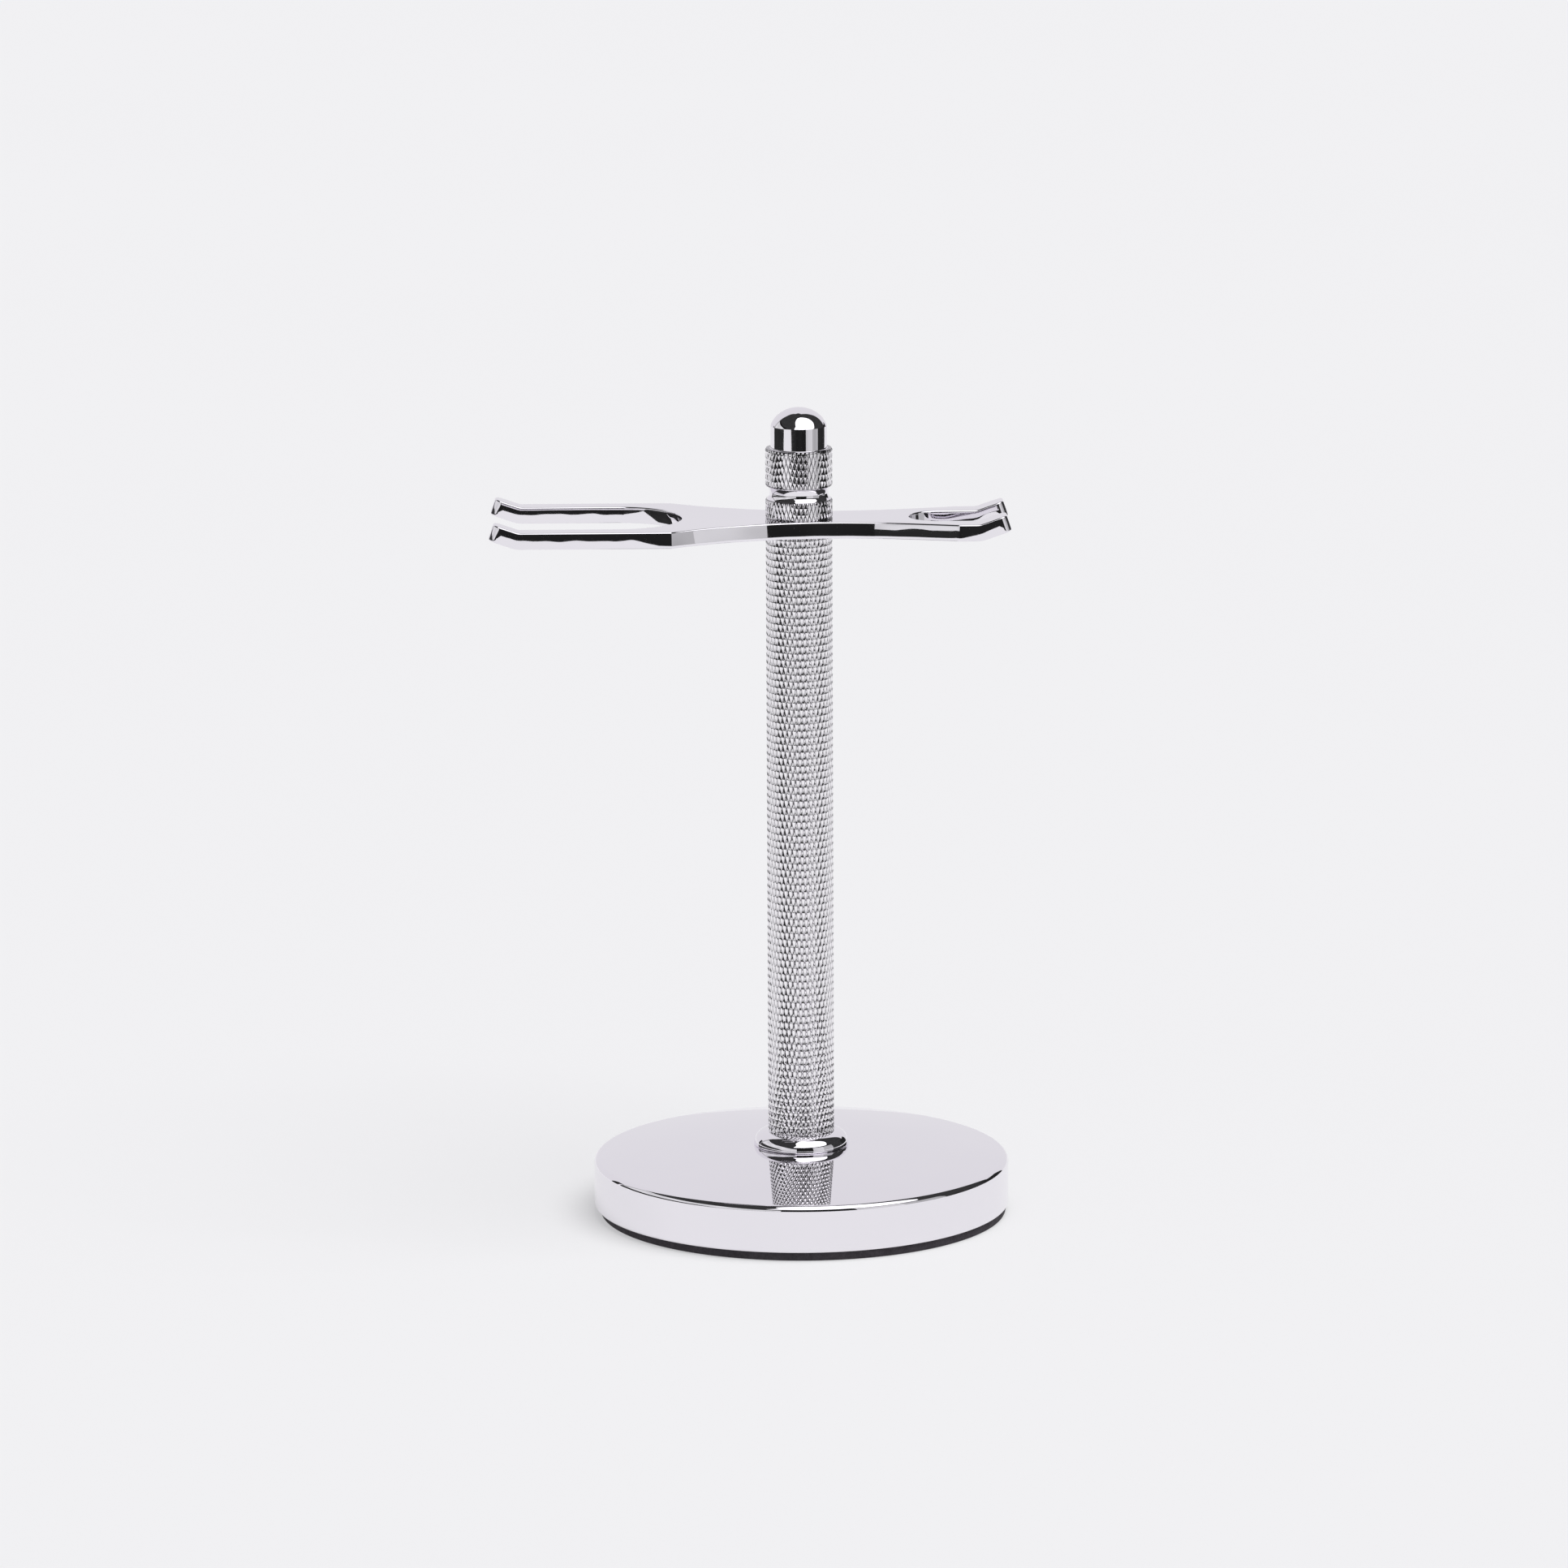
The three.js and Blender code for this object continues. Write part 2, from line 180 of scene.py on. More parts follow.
PAPER_SHADE = (0.445, 0.445, 0.449)

# Studio
CAMERA_PLACE = (0, -1.568, 0.4081)
CAMERA_LENS = 203.98
CAMERA_SENSOR = 36
CAMERA_PITCH = math.radians(90 - 11.85)  # up from straight down
CAMERA_YAW = math.radians(0.105)
CAMERA_ROLL = math.radians(-0.233)
ROOM_COLOUR = (0.794, 0.782, 0.815, 1)
ROOM_ON_MATT = 0.5  # share of the room's light that falls on matt surfaces
KEY_STRENGTH = 2.2
KEY_WIDTH = math.radians(50)
KEY_AZIMUTH = 58
KEY_ELEVATION = 66
LIGHT_COLOUR = (0.985, 0.985, 1, 1)
PAPER_GLOW = 0.4185
PAPER_SIZE = 40
SCREEN_CENTRE = Vector((0, 0, 0.14))
SCREEN_STEPS = 6  # mesh steps from one rib to the next
RIB_STEPS = 12
BOARD_STEPS = 8
CARD_HEIGHT = 2 * MM  # of the floor cards above the floor
TABLE_FRONT = -0.73
TABLE_LEFT = -0.765
TABLE_RIGHT = 0.83
ROOM = 3.0  # how far out the dark room's floor goes


# ---------------------------------------------------------------- meshes


def add_piece(name, vertices, faces, material, body, node):
    """One finished piece of the stand, which rides on a CAD body and stands for a CAD node."""
    mesh = bpy.data.meshes.new(name)
    mesh.from_pydata([tuple(v) for v in vertices], [], faces)
    mesh.validate()
    mesh.shade_smooth()
    mesh.set_sharp_from_angle(angle=SHARP_ANGLE)
    mesh.materials.append(material)
    piece = bpy.data.objects.new(name, mesh)
    bpy.context.scene.collection.objects.link(piece)
    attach(piece, body)
    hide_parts(node)
    return piece


def weight_normals(piece):
    """Large faces keep their own direction next to narrow fillets, so mirrors stay true."""
    modifier = piece.modifiers.new("weighted_normals", "WEIGHTED_NORMAL")
    modifier.keep_sharp = True
    modifier.weight = 50


def rounded(corners, steps=6):
    """A profile from (radius, height, fillet radius) corners, with each fillet as an arc."""
    points = []
    for index, (x, z, fillet) in enumerate(corners):
        here = Vector((x, z))
        if fillet == 0 or index in (0, len(corners) - 1):
            points.append((x, z))
            continue
        before = (Vector(corners[index - 1][:2]) - here).normalized()
        after = (Vector(corners[index + 1][:2]) - here).normalized()
        half = before.angle(after) / 2
        reach = fillet / math.tan(half)
        centre = here + (before + after).normalized() * (fillet / math.sin(half))
        first = here + before * reach - centre
        last = here + after * reach - centre
        turn = first.angle_signed(last)
        for step in range(steps + 1):
            point = first.copy()
            point.rotate(Matrix.Rotation(-turn * step / steps, 2))
            points.append(tuple(centre + point))
    return points


class Turning:
    """A turned solid built ring by ring from its first profile point to its last."""

    def __init__(self, segments):
        self.segments = segments
        self.vertices = []
        self.faces = []
        self.angles = np.arange(segments) * 2 * math.pi / segments

    def ring(self, radius, height):
        """Adds a ring of vertices and returns the number of its first vertex."""
        first = len(self.vertices)
        radius = np.broadcast_to(radius, self.segments)
        height = np.broadcast_to(height, self.segments)
        x = radius * np.sin(self.angles)
        y = -radius * np.cos(self.angles)
        self.vertices.extend(zip(x, y, height))
        return first

    def join(self, lower, upper):
        """Quads from one ring to the next."""
        for m in range(self.segments):
            n = (m + 1) % self.segments
            self.faces.append((lower + m, lower + n, upper + n, upper + m))

    def profile(self, points):
        """Rings along a profile, joined to each other and to the last ring before them."""
        for radius, height in points:
            previous = len(self.vertices) - self.segments
            first = self.ring(radius, height)
            if previous >= 0:
                self.join(previous, first)

    def join_ends(self):
        """Joins the last ring to the first, for a piece with a through hole."""
        self.join(len(self.vertices) - self.segments, 0)

    def cap_ends(self):
        """Fills the first and the last ring with one flat face each."""
        first = range(self.segments)
        last = range(len(self.vertices) - self.segments, len(self.vertices))
        self.faces.append(tuple(reversed(first)))
        self.faces.append(tuple(last))

    def knurl(self, low, high, radius, pattern):
        """A diamond knurl up from the last ring, as a lattice of staggered rows."""
        first_period, second_period = pattern.periods
        cell = 2 / (1 / first_period + 1 / second_period)
        drift = (1 / first_period - 1 / second_period) / 2
        rows = round((high - low) / cell * 2 * KNURL_STEPS)
        around = np.arange(self.segments) / KNURL_STEPS
        start_angle = self.angles[0]
        turn = 2 * math.pi / pattern.starts
        for row in range(rows + 1):
            up = row / (2 * KNURL_STEPS)
            side = around + (row % 2) / (2 * KNURL_STEPS)
            height = low + (high - low) * row / rows
            self.angles = start_angle + turn * (side - (height - low) * drift)
            from_end = min(height - low, high - height)
            limit = radius - pattern.chamfer * max(0, 1 - from_end / pattern.chamfer)
            depth = pattern.depth * groove_share(up, side, pattern)
            ring = self.ring(np.minimum(radius - depth, limit), height)
            if row == 0:
                self.join(ring - self.segments, ring)
                self.edge_triangles(ring, ring + self.segments, below=True)
            elif row < rows:
                self.lattice(ring - self.segments, shift=(row - 1) % 2)
        self.edge_triangles(ring, ring - self.segments, below=False, shift=rows % 2)

    def edge_triangles(self, edge, inner, below, shift=0):
        """Closes the zigzag at a knurl's first or last row."""
        for m in range(self.segments):
            n = (m + 1) % self.segments
            if below:
                self.faces.append((edge + m, edge + n, inner + m))
            else:
                self.faces.append((edge + n, edge + m, inner + (n if shift else m)))

    def lattice(self, ring, shift):
        """The diamonds whose lower corners lie on this ring."""
        for m in range(self.segments):
            right = ring + self.segments + (m + shift) % self.segments
            left = ring + self.segments + (m + shift - 1) % self.segments
            top = ring + 2 * self.segments + m
            self.faces.append((ring + m, right, top, left))


def groove(position, flank):
    """The share of the depth across a groove: 1 in its middle, the flank's at its shoulder."""
    distance = np.abs(position - np.round(position)) * 2
    return np.interp(distance, (0, GROOVE_SHOULDER, GROOVE_LAND), (1, flank, 0))


def groove_share(up, side, pattern):
    """The share of a knurl's depth where its two families of grooves meet."""
    first = groove(up + side, pattern.flank)
    second = groove(up - side, pattern.flank)
    if pattern.rolled:
        return (first + second) / 2
    return np.maximum(first, second)


# ---------------------------------------------------------------- materials


class Look:
    """A material that is being built, with its shader and the coordinates of its patterns."""

    def __init__(self, name):
        self.material = bpy.data.materials.new(name)
        self.material.use_nodes = True
        self.tree = self.material.node_tree
        self.shader = self.tree.nodes["Principled BSDF"]
        self.place = self.tree.nodes.new("ShaderNodeTexCoord").outputs["Object"]

    def put(self, socket, value):
        """Links a node's output to a socket, or sets a constant on it."""
        if isinstance(value, bpy.types.NodeSocket):
            self.tree.links.new(value, socket)
        else:
            socket.default_value = value

    def node(self, kind, **inputs):
        """A new node. An underscore in an input's name stands for a space."""
        made = self.tree.nodes.new(kind)
        for name, value in inputs.items():
            self.put(made.inputs[name.replace("_", " ")], value)
        return made

    def noise(self, scale, detail=2.0, roughness=0.5, place=None):
        """Cloudy noise from 0 to 1. The scale is in clouds to a metre."""
        place = self.place if place is None else place
        made = self.node("ShaderNodeTexNoise", Vector=place, Scale=scale, Detail=detail,
                         Roughness=roughness)
        return made.outputs["Fac"]

    def remap(self, value, low, high, to_low, to_high):
        """Turns the range from low to high into the other one."""
        made = self.node("ShaderNodeMapRange", Value=value, From_Min=low, From_Max=high,
                         To_Min=to_low, To_Max=to_high)
        return made.outputs["Result"]

    def product(self, first, second):
        """Two values multiplied."""
        made = self.tree.nodes.new("ShaderNodeMath")
        made.operation = "MULTIPLY"
        self.put(made.inputs[0], first)
        self.put(made.inputs[1], second)
        return made.outputs["Value"]

    def distance_from_axis(self):
        """How far a point is from the post's axis."""
        parts = self.node("ShaderNodeSeparateXYZ", Vector=self.place)
        flat = self.node("ShaderNodeCombineXYZ", X=parts.outputs["X"], Y=parts.outputs["Y"])
        length = self.tree.nodes.new("ShaderNodeVectorMath")
        length.operation = "LENGTH"
        self.put(length.inputs[0], flat.outputs["Vector"])
        return length.outputs["Value"]

    def bump(self, height, distance):
        """Surface directions for a height between 0 and 1 that stands for this distance."""
        made = self.node("ShaderNodeBump", Height=height, Strength=1.0, Distance=distance)
        return made.outputs["Normal"]

    def tint(self, factor, first, second):
        """A colour between two others."""
        made = self.tree.nodes.new("ShaderNodeMix")
        made.data_type = "RGBA"
        self.put(made.inputs["Factor"], factor)
        self.put(made.inputs["A"], (*first, 1))
        self.put(made.inputs["B"], (*second, 1))
        return made.outputs["Result"]

    def shade(self, **inputs):
        """Sets or links the shader's own inputs."""
        for name, value in inputs.items():
            self.put(self.shader.inputs[name.replace("_", " ")], value)


def polished_chrome(name, waviness):
    """Mirror chrome: faint buffing marks in its gloss, and the slight waviness of hand polishing."""
    look = Look(name)
    look.shade(
        Base_Color=look.tint(look.noise(60, detail=3), CHROME_SHADE, CHROME_COLOUR),
        Roughness=look.remap(look.noise(900, detail=4, roughness=0.6), 0.3, 0.75, 0.012, 0.04),
        Metallic=1,
        Normal=look.bump(look.noise(160, detail=1, roughness=0.4), waviness),
    )
    return look.material


def knurled_chrome(name, crest, depth):
    """Bright chrome that is duller at the bottom of the grooves, with light painted into its colour:
    a painted shade that darkens the grooves and a painted highlight on the crests.
    """
    look = Look(name)
    # The colour runs from the painted groove shade at the bottom to the painted crest highlight at
    # the top
    height = look.remap(look.distance_from_axis(), crest - depth, crest, 0, 1)
    dull = look.remap(height, 0, 1, 0.04, 0.018)
    grain = look.remap(look.noise(2500, detail=3, roughness=0.6), 0.3, 0.7, 0.7, 1.3)
    look.shade(
        Base_Color=look.tint(height, PAINTED_GROOVE_SHADE, PAINTED_CREST_HIGHLIGHT),
        Roughness=look.product(dull, grain),
        Metallic=1,
    )
    return look.material


def foam_rubber(name):
    """Matt black closed-cell foam with an open, dusty skin."""
    look = Look(name)
    dust = look.noise(700, detail=5, roughness=0.65)
    cells = look.node("ShaderNodeTexVoronoi", Vector=look.place, Scale=3200.0)
    look.shade(
        Base_Color=look.tint(dust, RUBBER_COLOUR, RUBBER_DUST),
        Roughness=look.remap(dust, 0.2, 0.8, 0.95, 0.7),
        Normal=look.bump(cells.outputs["Distance"], 0.08 * MM),
    )
    return look.material


def zinc_steel(name):
    """Zinc-plated steel with fine turning marks round the axis."""
    look = Look(name)
    stretched = look.node("ShaderNodeMapping", Vector=look.place, Scale=(1, 1, 12))
    marks = look.noise(900, detail=4, roughness=0.6, place=stretched.outputs["Vector"])
    look.shade(
        Base_Color=look.tint(marks, ZINC_SHADE, ZINC_COLOUR),
        Roughness=look.remap(marks, 0.25, 0.75, 0.22, 0.42),
        Metallic=1,
        Normal=look.bump(marks, 0.01 * MM),
    )
    return look.material


# ---------------------------------------------------------------- turned pieces


def turned(name, points, segments, material, body, node, through=False, shift=0):
    """A turned piece from a profile that runs from the axis to the axis, or round a hole."""
    turning = Turning(segments)
    turning.profile(points)
    if through:
        turning.join_ends()
    else:
        turning.cap_ends()
    vertices = [(x + shift, y, z) for x, y, z in turning.vertices]
    piece = add_piece(name, vertices, turning.faces, material, body, node)
    weight_normals(piece)
    return piece


def make_pad():
    """The foam disc under the base, with soft edges."""
    low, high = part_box("base_pad")
    middle = (low.z + high.z) / 2
    corners = [
        (PAD_CENTRE_RADIUS, low.z, 0),
        (high.x - PAD_FOOT_TAPER, low.z, PAD_EDGE_FILLET),
        (high.x, middle, 0),
        (high.x - PAD_TOP_TAPER, high.z, 0),
        (PAD_CENTRE_RADIUS, high.z, 0),
    ]
    return turned("foam_pad", rounded(corners, steps=4), PAD_SEGMENTS, foam_rubber("foam_rubber"),
                  "stand", "base_pad", shift=PAD_SHIFT)


def crown_points(radius, edge_top, ring):
    """The base's rounded edge, and its crowned top from there to the foot ring."""
    span = radius - BASE_EDGE_FILLET - ring
    slope = math.atan(2 * BASE_CROWN / span)
    shoulder = radius - BASE_EDGE_FILLET + BASE_EDGE_FILLET * math.sin(slope)
    shoulder_share = (shoulder - ring) / span
    shoulder_top = edge_top + BASE_CROWN * (1 - shoulder_share**2)
    points = []
    for step in range(BASE_FILLET_STEPS + 1):
        angle = (math.pi / 2 - slope) * step / BASE_FILLET_STEPS
        points.append((radius - BASE_EDGE_FILLET * (1 - math.cos(angle)),
                       shoulder_top - BASE_EDGE_FILLET * (math.cos(slope) - math.sin(angle))))
    for step in range(1, BASE_CROWN_STEPS + 1):
        share = shoulder_share * (1 - step / BASE_CROWN_STEPS)
        points.append((ring + span * share, edge_top + BASE_CROWN * (1 - share * share)))
    return points


def make_base():
    """The heavy disc, bored through for the screw and counterbored for its head."""
    low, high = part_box("base")
    edge_top = high.z - BASE_CROWN
    roof = low.z + COUNTERBORE_DEPTH
    foot = [
        (COUNTERBORE_RADIUS, low.z, 0),
        (high.x, low.z, BASE_FOOT_FILLET),
        (high.x, edge_top - BASE_EDGE_FILLET, 0),
    ]
    points = [
        (HOLE_RADIUS, roof),
        (COUNTERBORE_RADIUS, roof),
        *rounded(foot, steps=12)[:-1],
        *crown_points(high.x, edge_top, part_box("foot_ring")[1].x),
        (HOLE_RADIUS, high.z),
    ]
    return turned("base_disc", points, BASE_SEGMENTS, polished_chrome("base_chrome", BASE_WAVINESS),
                  "stand", "base", through=True)


def make_foot_ring():
    """The collar at the post's foot: a quarter of an ellipse above a small rounded edge."""
    low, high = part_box("foot_ring")
    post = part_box("post")[1].x
    widest = low.z + RING_FOOT_FILLET
    foot = [(HOLE_RADIUS, low.z, 0), (high.x, low.z, RING_FOOT_FILLET), (high.x, widest, 0)]
    bead = []
    for step in range(1, RING_BEAD_STEPS + 1):
        angle = math.radians(90) * step / RING_BEAD_STEPS
        bead.append((post + (high.x - post) * math.cos(angle),
                     widest + (high.z - widest) * math.sin(angle)))
    points = [*rounded(foot)[:-1], *bead, (HOLE_RADIUS, high.z)]
    return turned("beaded_ring", points, RING_SEGMENTS,
                  polished_chrome("ring_chrome", RING_WAVINESS), "stand",
                  "foot_ring", through=True)


def make_post():
    """The knurled bar, with a tapped hole in each end."""
    low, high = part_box("post")
    turning = Turning(POST_KNURL.starts * KNURL_STEPS)
    turning.profile([(HOLE_RADIUS, low.z + TAPPED_DEPTH), (HOLE_RADIUS, low.z)])
    turning.knurl(low.z, high.z, high.x, POST_KNURL)
    turning.profile([(HOLE_RADIUS, high.z), (HOLE_RADIUS, high.z - TAPPED_DEPTH)])
    turning.cap_ends()
    material = knurled_chrome("post_chrome", high.x, POST_KNURL.depth)
    return add_piece("knurled_post", turning.vertices, turning.faces, material, "stand",
                     "post")


def dome_points(bottom, top):
    """The dome's profile: an ellipse that meets the cap's side at a slight angle."""
    start = math.radians(DOME_START)
    across = CAP_RADIUS / math.cos(start)
    tall = (top - bottom) / (1 - math.sin(start))
    points = []
    for step in range(CURVE_STEPS + 1):
        angle = start + (math.pi / 2 - start) * step / CURVE_STEPS
        height = top - tall * (1 - math.sin(angle))
        points.append((max(across * math.cos(angle), DOME_TIP_RADIUS), height))
    return points


def cove_points(bottom, top):
    """The hollow groove's profile: one arc from lip to lip."""
    half = (top - bottom) / 2
    depth = GROOVE_LIP - GROOVE_RADIUS
    radius = (half * half + depth * depth) / (2 * depth)
    reach = math.asin(half / radius)
    points = []
    for step in range(CURVE_STEPS + 1):
        angle = reach * (2 * step / CURVE_STEPS - 1)
        points.append((GROOVE_RADIUS + radius * (1 - math.cos(angle)),
                       bottom + half + radius * math.sin(angle)))
    return points


def make_finial():
    """The cap nut: knurled collar, smooth groove, knurled band, plain cap and dome."""
    low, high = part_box("finial")
    collar_top = low.z + COLLAR_HEIGHT
    band_bottom = collar_top + GROOVE_HEIGHT
    band_top = band_bottom + BAND_HEIGHT
    cap_top = band_top + CAP_HEIGHT
    cap = [
        (high.x - FINIAL_KNURL.chamfer, band_top, 0),
        (CAP_RADIUS, band_top, CAP_FOOT_FILLET),
        (CAP_RADIUS, cap_top, 0),
    ]
    turning = Turning(FINIAL_KNURL.starts * KNURL_STEPS)
    turning.profile([(HOLE_RADIUS, low.z + TAPPED_DEPTH), (HOLE_RADIUS, low.z)])
    turning.knurl(low.z, collar_top, high.x, FINIAL_KNURL)
    turning.profile(cove_points(collar_top, band_bottom))
    turning.knurl(band_bottom, band_top, high.x, FINIAL_KNURL)
    turning.profile(rounded(cap, steps=4)[1:-1])
    turning.profile(dome_points(cap_top, high.z))
    turning.cap_ends()
    material = knurled_chrome("finial_knurl_chrome", high.x, FINIAL_KNURL.depth)
    piece = add_piece("finial_cap_nut", turning.vertices, turning.faces, material, "cap",
                      "finial")
    piece.data.materials.append(polished_chrome("finial_chrome", FINIAL_WAVINESS))
    for face in piece.data.polygons:
        height = face.center.z
        plain = collar_top < height < band_bottom or height > band_top
        face.material_index = 1 if plain else 0
    weight_normals(piece)
    return piece


# ---------------------------------------------------------------- fork


def bezier(start, first, second, end, steps):
    """Points of a cubic curve after its start."""
    points = []
    for step in range(1, steps + 1):
        t = step / steps
        s = 1 - t
        points.append(s**3 * start + 3 * s * s * t * first + 3 * s * t * t * second + t**3 * end)
    return points


def arc(centre, radius, start, end, steps):
    """Points of an arc with both its ends. The angles are in degrees."""
    points = []
    for step in range(steps + 1):
        angle = math.radians(start + (end - start) * step / steps)
        points.append(centre + radius * Vector((math.cos(angle), math.sin(angle))))
    return points


def line(start, end, step_length):
    """Points between two ends, both left out."""
    count = max(1, round((end - start).length / step_length))
    return [start.lerp(end, step / count) for step in range(1, count)]


def prong_end(tip, from_y, to_y):
    """The end of a prong with its two corners rounded, followed anticlockwise."""
    outward = math.copysign(1, tip)
    across = math.copysign(1, to_y - from_y)
    middle = 0 if outward > 0 else 180
    x = tip - outward * TIP_CORNER_RADIUS
    first = Vector((x, from_y + across * TIP_CORNER_RADIUS))
    second = Vector((x, to_y - across * TIP_CORNER_RADIUS))
    to_face = Vector((outward * TIP_CORNER_RADIUS, 0))
    return (arc(first, TIP_CORNER_RADIUS, middle - 90, middle, steps=8)
            + line(first + to_face, second + to_face, TIP_FACE_STEP)
            + arc(second, TIP_CORNER_RADIUS, middle, middle + 90, steps=8))


def join_lines(parts, step_length):
    """Puts stretches of an outline one after another, with lines across the gaps."""
    points = list(parts[0])
    for part in parts[1:]:
        gap = (part[0] - points[-1]).length
        if gap > step_length:
            points += line(points[-1], part[0], step_length)
        points += part if gap > SAME_POINT else part[1:]
    return points


def fork_outline():
    """The fork's outline from above, anticlockwise, with both slots open at the tips."""
    razor_shoulder = Vector((RAZOR_SHOULDER, RAZOR_HALF_WIDTH))
    brush_shoulder = Vector((-BRUSH_SHOULDER, BRUSH_HALF_WIDTH))
    waist = Vector((WAIST_X, WAIST_HALF_WIDTH))
    razor_curve = bezier(
        razor_shoulder,
        razor_shoulder - Vector(RAZOR_SHOULDER_HANDLE),
        waist + Vector((RAZOR_WAIST_HANDLE, 0)),
        waist,
        steps=40,
    )
    brush_curve = bezier(
        waist,
        waist - Vector((BRUSH_WAIST_HANDLE, 0)),
        brush_shoulder + Vector((BRUSH_SHOULDER_HANDLE[0], -BRUSH_SHOULDER_HANDLE[1])),
        brush_shoulder,
        steps=44,
    )
    half = join_lines(
        [
            arc(Vector((RAZOR_SLOT_CENTRE, 0)), RAZOR_SLOT_RADIUS, 180, 90, steps=28),
            prong_end(RAZOR_TIP, RAZOR_SLOT_RADIUS, RAZOR_HALF_WIDTH),
            [razor_shoulder],
            razor_curve,
            brush_curve,
            prong_end(-BRUSH_TIP, BRUSH_HALF_WIDTH, BRUSH_SLOT_RADIUS),
            arc(Vector((-BRUSH_SLOT_CENTRE, 0)), BRUSH_SLOT_RADIUS, 90, 0, steps=44),
        ],
        OUTLINE_STEP,
    )
    mirrored = [Vector((p.x, -p.y)) for p in reversed(half[1:-1])]
    return half + mirrored


def inset_directions(outline):
    """For each point of a closed anticlockwise outline, the step inwards for unit inset."""
    steps = []
    for index, here in enumerate(outline):
        before = (here - outline[index - 1]).normalized()
        after = (outline[(index + 1) % len(outline)] - here).normalized()
        first = Vector((-before.y, before.x))
        second = Vector((-after.y, after.x))
        middle = (first + second).normalized()
        steps.append(middle / max(middle.dot(first), 0.5))
    return steps


def plate_section():
    """The plate's edge in section: (inset, height above the mid-plane) from the top face down."""
    flat = PLATE_THICKNESS / 2 - PLATE_FILLET
    upper = []
    for step in range(PLATE_FILLET_STEPS + 1):
        angle = math.radians(90 - 90 * step / PLATE_FILLET_STEPS)
        upper.append((EDGE_CROWN + PLATE_FILLET * (1 - math.cos(angle)),
                      flat + PLATE_FILLET * math.sin(angle)))
    for share in (0.75, 0.5, 0.25):
        upper.append((EDGE_CROWN * share * share, flat * share))
    lower = [(inset, -height) for inset, height in reversed(upper)]
    return [*upper, (0, 0), *lower]


def lean(x):
    """How far back the plate's narrow faces lean at this distance along the fork."""
    share = min(1, max(0, (x - LEAN_LEFT) / LEAN_RUN), max(0, (LEAN_RIGHT - x) / LEAN_RUN))
    return WAIST_LEAN * share * share * (3 - 2 * share)


def bent(x, height):
    """Where a point of the flat plate goes when both ends are turned up."""
    for outward, start in BENDS:
        past = outward * x - start
        if past > 0:
            angle = min(past / BEND_RADIUS, BEND_ANGLE)
            rest = max(0, past - BEND_RADIUS * BEND_ANGLE)
            along = start + BEND_RADIUS * math.sin(angle) + rest * math.cos(angle)
            up = BEND_RADIUS * (1 - math.cos(angle)) + rest * math.sin(angle)
            return outward * (along - height * math.sin(angle)), up + height * math.cos(angle)
    return x, height


def plate_walls(mesh, outline):
    """The flat plate's narrow faces. Returns the loops of vertices at their top and bottom."""
    steps = inset_directions(outline)
    loops = []
    for inset, height in plate_section():
        loop = []
        for point, step in zip(outline, steps):
            place = point + step * (inset + height * math.tan(lean(point.x)))
            loop.append(mesh.verts.new((place.x, place.y, height)))
        loops.append(loop)
    for upper, lower in zip(loops, loops[1:]):
        for m in range(len(outline)):
            n = (m + 1) % len(outline)
            mesh.faces.new((upper[n], upper[m], lower[m], lower[n]))
    return loops[0], loops[-1]


def plate_hole(mesh):
    """The stud's hole in the flat plate. Returns the rings of vertices at its top and bottom."""
    rings = []
    for height in (PLATE_THICKNESS / 2, -PLATE_THICKNESS / 2):
        ring = []
        for m in range(HOLE_SEGMENTS):
            angle = 2 * math.pi * m / HOLE_SEGMENTS
            place = (HOLE_RADIUS * math.cos(angle), HOLE_RADIUS * math.sin(angle), height)
            ring.append(mesh.verts.new(place))
        rings.append(ring)
    top, bottom = rings
    for m in range(HOLE_SEGMENTS):
        n = (m + 1) % HOLE_SEGMENTS
        mesh.faces.new((top[m], top[n], bottom[n], bottom[m]))
    return top, bottom


def plate_face(mesh, loop, ring, up):
    """The plate's top or bottom face, between its outline and its hole."""
    edges = []
    for path in (loop, ring):
        edges += [mesh.edges.get((here, after)) for here, after in zip(path, path[1:] + path[:1])]
    bmesh.ops.triangle_fill(mesh, edges=edges, use_beauty=True, normal=(0, 0, up))


def bend_plate(mesh, middle):
    """Cuts the flat plate where the bends need vertices, and puts all of it in its place."""
    for outward, start in BENDS:
        for step in range(BEND_STEPS + 1):
            cut = outward * (start + BEND_RADIUS * BEND_ANGLE * step / BEND_STEPS)
            everything = mesh.verts[:] + mesh.edges[:] + mesh.faces[:]
            bmesh.ops.bisect_plane(mesh, geom=everything, dist=CUT_TOLERANCE,
                                   plane_co=(cut, 0, 0), plane_no=(1, 0, 0))
    for vertex in mesh.verts:
        x, height = bent(vertex.co.x, vertex.co.z)
        vertex.co = (x, vertex.co.y, middle + height)
    bmesh.ops.rotate(mesh, verts=mesh.verts[:], cent=(0, 0, 0),
                     matrix=Matrix.Rotation(FORK_TURN, 3, "Z"))


def make_fork():
    """The plate with a fork at each end, its prongs turned up at their tips."""
    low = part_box("arm")[0]
    mesh = bmesh.new()
    top_loop, bottom_loop = plate_walls(mesh, fork_outline())
    top_ring, bottom_ring = plate_hole(mesh)
    plate_face(mesh, top_loop, top_ring, up=1)
    plate_face(mesh, bottom_loop, bottom_ring, up=-1)
    bend_plate(mesh, low.z + PLATE_THICKNESS / 2)
    bmesh.ops.recalc_face_normals(mesh, faces=mesh.faces[:])
    mesh.verts.index_update()
    vertices = [v.co.copy() for v in mesh.verts]
    faces = [tuple(v.index for v in face.verts) for face in mesh.faces]
    mesh.free()
    piece = add_piece("fork_plate", vertices, faces, polished_chrome("fork_chrome", FORK_WAVINESS),
                      "fork", "arm")
    weight_normals(piece)
    return piece


# ---------------------------------------------------------------- fasteners


